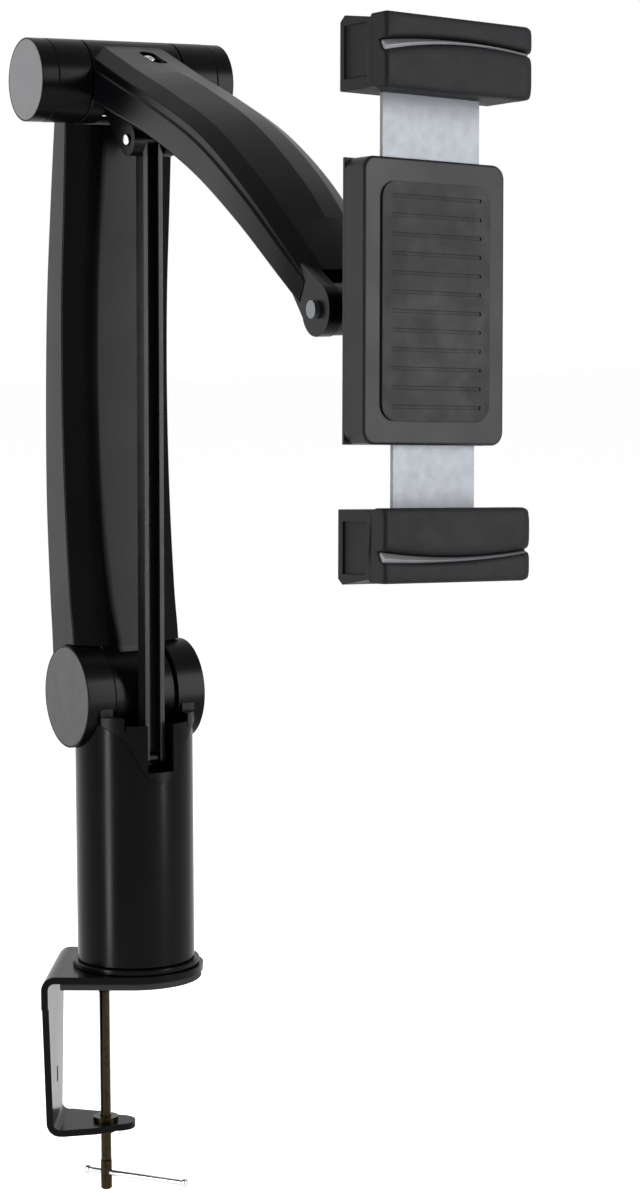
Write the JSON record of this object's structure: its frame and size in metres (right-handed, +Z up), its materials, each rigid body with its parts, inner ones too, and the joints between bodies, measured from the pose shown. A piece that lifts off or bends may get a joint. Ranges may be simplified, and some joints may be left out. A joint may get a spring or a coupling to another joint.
{
  "type": "clamp tablet mount",
  "caption": "Table-edge clamp mount with swivelling column, two hinged arms kept level by a tie link, and a spring-free sliding-jaw tablet holder.",
  "frame": {"origin": "column axis, where the rubber under the clamp's top plate meets the table top", "axes": "+Z up along the column, +X along both arm hinges, -Y towards the user and the holder"},
  "size_m": [0.1094, 0.3624, 0.5892],
  "materials": {
    "black_paint": "gloss",
    "rubber": "matt",
    "jaw_rubber": "satin",
    "brass": "satin",
    "bright_steel": "polished",
    "silver_disc": "satin",
    "zinc_steel": "satin",
    "black_gloss": "gloss",
    "link_steel": "satin",
    "black_matt": "satin"
  },
  "bodies": {
    "clamp": {"clamp_bracket": "black_paint", "base_pad": "rubber", "thread_bush": "brass", "foot_flange": "black_paint", "swivel_washer": "black_matt", "base_bolt": "zinc_steel", "base_nut": "zinc_steel"},
    "pressure_pad_body": {"pressure_pad": "zinc_steel", "pressure_pad_facing": "rubber"},
    "screw_body": {"clamp_screw": "brass"},
    "tommy_body": {"tommy_bar": "bright_steel"},
    "column": {"column_tube": "black_paint", "column_base_plug": "black_matt", "column_head": "black_gloss", "lower_hinge_bolt": "zinc_steel", "lower_hinge_nut": "zinc_steel", "lower_washer_left": "black_matt", "lower_washer_right": "black_matt", "lower_cap_left": "silver_disc", "lower_cap_right": "silver_disc", "link_pin_lower": "zinc_steel"},
    "lower_arm": {"lower_arm_shell": "black_gloss", "lower_arm_cover": "black_gloss", "elbow_bolt": "zinc_steel", "elbow_knob_left": "black_gloss", "elbow_knob_right": "black_gloss", "elbow_cap_left": "silver_disc", "elbow_cap_right": "silver_disc"},
    "link_body": {"tie_link": "link_steel"},
    "yoke_body": {"elbow_yoke": "black_gloss", "link_pin_upper": "zinc_steel"},
    "upper_arm": {"upper_arm_shell": "black_gloss", "tilt_bolt": "zinc_steel"},
    "tilt_body": {"tilt_block": "black_matt"},
    "swivel_body": {"swivel_post": "black_matt", "swivel_pin": "zinc_steel", "roll_bolt": "zinc_steel"},
    "holder": {"holder_housing": "black_matt", "holder_cover": "black_matt", "guide_rod_left": "zinc_steel", "guide_rod_right": "zinc_steel"},
    "upper_jaw_body": {"upper_jaw": "jaw_rubber", "upper_jaw_carrier": "zinc_steel"},
    "lower_jaw_body": {"lower_jaw": "jaw_rubber", "lower_jaw_carrier": "zinc_steel"}
  },
  "joints": [
    {"name": "screw_turn", "type": "hinge", "parent": "pressure_pad_body", "child": "screw_body", "pos_m": [-0.01416, 0.00885, -0.05], "axis": [0, 0, -1], "range_deg": [0, 16200]},
    {"name": "pad_travel", "type": "slide", "parent": "clamp", "child": "pressure_pad_body", "axis": [0, 0, -1], "range_m": [0, 0.045]},
    {"name": "tommy_slide", "type": "slide", "parent": "screw_body", "child": "tommy_body", "axis": [0.5635, -0.8261, 0], "range_m": [-0.041, 0.006]},
    {"name": "column_swivel", "type": "hinge", "parent": "clamp", "child": "column", "pos_m": [0, 0, 0.0115], "axis": [0, 0, 1], "continuous": true},
    {"name": "lower_arm_lean", "type": "hinge", "parent": "column", "child": "lower_arm", "pos_m": [0, 0.01, 0.146], "axis": [1, 0, 0], "range_deg": [-3, 65]},
    {"name": "link_lean", "type": "hinge", "parent": "column", "child": "link_body", "pos_m": [0, -0.02, 0.116], "axis": [1, 0, 0], "range_deg": [-3, 65]},
    {"name": "yoke_level", "type": "hinge", "parent": "lower_arm", "child": "yoke_body", "pos_m": [0, 0.006, 0.456], "axis": [1, 0, 0], "range_deg": [-65, 3]},
    {"name": "upper_arm_lift", "type": "hinge", "parent": "yoke_body", "child": "upper_arm", "pos_m": [0, 0.006, 0.456], "axis": [1, 0, 0], "range_deg": [-60, 16]},
    {"name": "head_tilt", "type": "hinge", "parent": "upper_arm", "child": "tilt_body", "pos_m": [0, -0.22106, 0.34328], "axis": [1, 0, 0], "range_deg": [-60, 60]},
    {"name": "head_turn", "type": "hinge", "parent": "tilt_body", "child": "swivel_body", "pos_m": [0, -0.24504, 0.34437], "axis": [0, 0.0454, 0.999], "range_deg": [-45, 45]},
    {"name": "holder_roll", "type": "hinge", "parent": "swivel_body", "child": "holder", "pos_m": [0.00249, -0.26718, 0.34538], "axis": [0.1115, -0.9927, 0.0451], "continuous": true},
    {"name": "upper_jaw_slide", "type": "slide", "parent": "holder", "child": "upper_jaw_body", "axis": [0.0381, 0.0496, 0.998], "range_m": [-0.026, 0.02]},
    {"name": "lower_jaw_slide", "type": "slide", "parent": "holder", "child": "lower_jaw_body", "axis": [0.0381, 0.0496, 0.998], "range_m": [-0.02, 0.026]}
  ],
  "couplings": [
    {"joint": "pad_travel", "follows": "screw_turn", "m_per_rad": 0.00015915},
    {"joint": "link_lean", "follows": "lower_arm_lean", "ratio": 1},
    {"joint": "yoke_level", "follows": "lower_arm_lean", "ratio": -1},
    {"joint": "lower_jaw_slide", "follows": "upper_jaw_slide", "ratio": -1}
  ]
}
